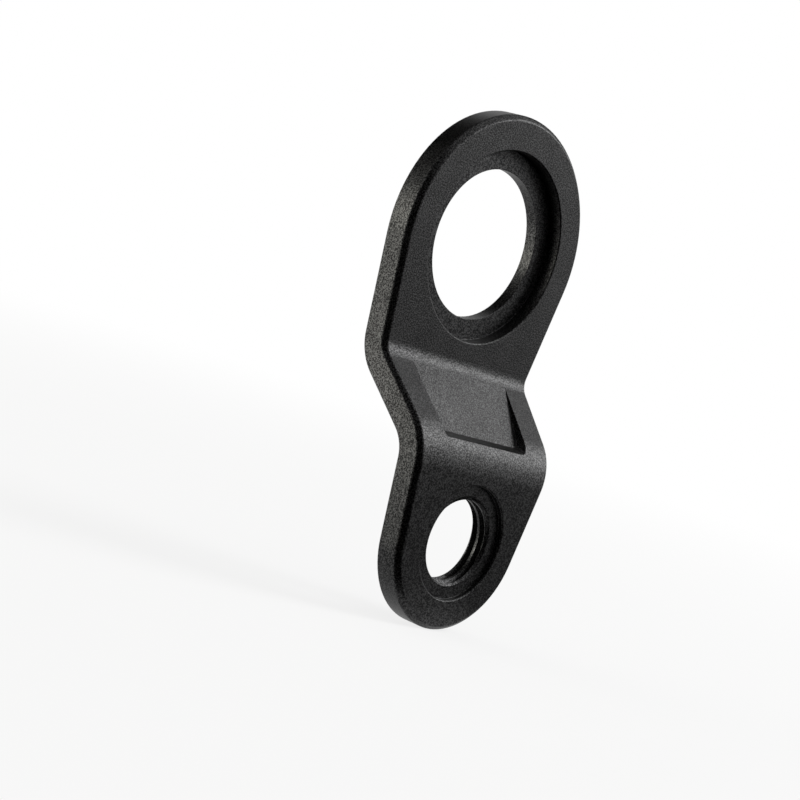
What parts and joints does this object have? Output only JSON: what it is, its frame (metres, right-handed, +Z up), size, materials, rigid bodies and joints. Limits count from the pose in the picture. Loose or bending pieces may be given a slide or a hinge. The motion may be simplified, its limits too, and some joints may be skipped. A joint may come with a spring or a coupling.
{
  "type": "derailleur hanger",
  "caption": "Stepped black plate with a large ring for the frame bolt, a sloped, pocketed web and a small ring with a threaded hole for a bicycle's rear derailleur.",
  "frame": {"origin": "centre of the hanger bolt's hole on the back face, the face that seats on the bicycle's frame", "axes": "-Y out of the front, the side of the hanger bolt's head; +Z up along the plate's middle line from the small ring to the large one; +X to the right seen from the front"},
  "size_m": [0.0282, 0.0109, 0.0539],
  "materials": {
    "black_anodised": "forged and machined, bead blasted, black anodised, fine satin grain"
  },
  "bodies": {
    "root": {"hanger_plate": "black_anodised"}
  },
  "joints": []
}
